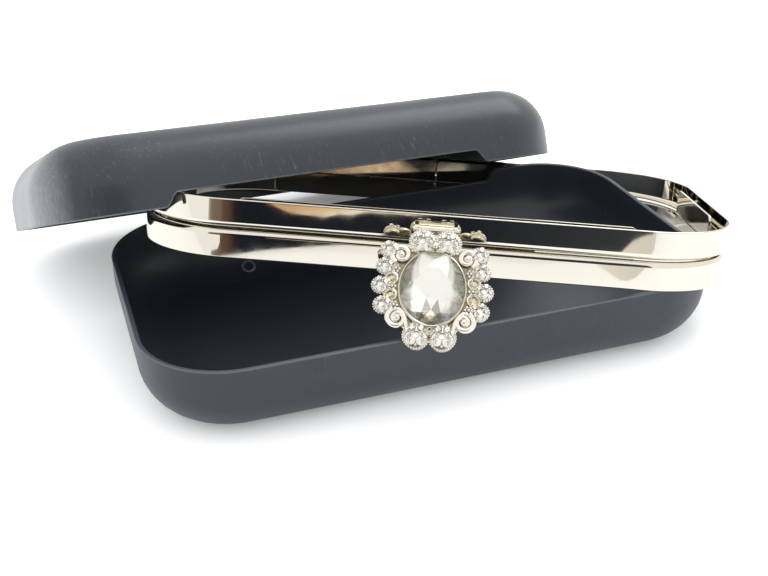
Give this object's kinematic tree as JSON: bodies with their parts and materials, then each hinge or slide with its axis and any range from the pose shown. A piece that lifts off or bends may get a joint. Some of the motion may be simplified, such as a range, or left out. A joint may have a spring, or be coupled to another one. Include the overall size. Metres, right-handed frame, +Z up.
{
  "type": "evening bag",
  "caption": "Box clutch evening bag laid out in its parts: moulded half shells, a hinged metal frame resting across them and a flap clasp with an oval cut stone in a scrolled casting.",
  "frame": {"origin": "centre of the lower shell's flat base, where it rests on the table", "axes": "+X along the lower shell's length, +Y to the back of the layout, away from the viewer, +Z up"},
  "size_m": [0.2612, 0.1975, 0.0743],
  "materials": {
    "lower_shell_plastic": "satin black moulded plastic with fine scuffs",
    "upper_shell_plastic": "satin charcoal moulded plastic with fine scuffs",
    "polished_nickel": "mirror-polished nickel plate on sheet steel",
    "nickel_strip": "nickel-plated strip, slightly duller inside the channel",
    "hinge_steel": "nickel-plated piano hinge and pin",
    "clasp_nickel": "nickel-plated pressed clasp parts",
    "cast_metal": "nickel-plated casting with dark recesses",
    "bezel_metal": "bright polished bezel strip",
    "centre_glass": "clear faceted glass with a foiled back",
    "side_glass": "pale yellow cut glass",
    "rhinestone_glass": "small clear cut glass"
  },
  "bodies": {
    "bottom_shell": {"bottom_shell": "lower_shell_plastic"},
    "lower_frame": {"lower_rim": "polished_nickel", "lower_front_strip": "nickel_strip", "lower_left_strip": "nickel_strip", "lower_right_strip": "nickel_strip", "lower_back_left_strip": "nickel_strip", "lower_back_right_strip": "nickel_strip", "lower_hinge_leaf": "hinge_steel", "hinge_pin": "hinge_steel", "catch_plate": "clasp_nickel", "catch_rivets": "clasp_nickel"},
    "upper_frame": {"upper_rim": "polished_nickel", "upper_front_strip": "nickel_strip", "upper_left_strip": "nickel_strip", "upper_right_strip": "nickel_strip", "upper_back_left_strip": "nickel_strip", "upper_back_right_strip": "nickel_strip", "upper_hinge_leaf": "hinge_steel", "clasp_bracket": "clasp_nickel", "bracket_rivets": "clasp_nickel", "clasp_pin": "clasp_nickel"},
    "clasp": {"clasp_flap": "clasp_nickel", "brooch_posts": "cast_metal", "brooch_setting": "cast_metal", "stone_bezel": "bezel_metal", "centre_stone": "centre_glass", "side_stones": "side_glass", "rhinestones": "rhinestone_glass"},
    "top_shell": {"top_shell": "upper_shell_plastic"}
  },
  "joints": [
    {"name": "frame_lift", "type": "slide", "parent": "bottom_shell", "child": "lower_frame", "axis": [0, 0, 1], "range_m": [0, 0.05]},
    {"name": "frame_hinge", "type": "hinge", "parent": "lower_frame", "child": "upper_frame", "pos_m": [0.04274, 0.08068, 0.01545], "axis": [-0.9234, 0.3767, 0.0733], "range_deg": [0, 60]},
    {"name": "clasp_lift", "type": "hinge", "parent": "upper_frame", "child": "clasp", "pos_m": [-0.00074, -0.03237, 0.04872], "axis": [-0.9234, 0.3767, 0.0733], "range_deg": [0, 50]},
    {"name": "top_shell_tip", "type": "hinge", "parent": "lower_frame", "child": "top_shell", "pos_m": [-0.03542, 0.11693, 0.00391], "axis": [-0.9928, -0.1092, 0.0503], "range_deg": [0, 66]}
  ],
  "couplings": [
    {"joint": "top_shell_tip", "follows": "frame_hinge", "ratio": 1.1}
  ]
}
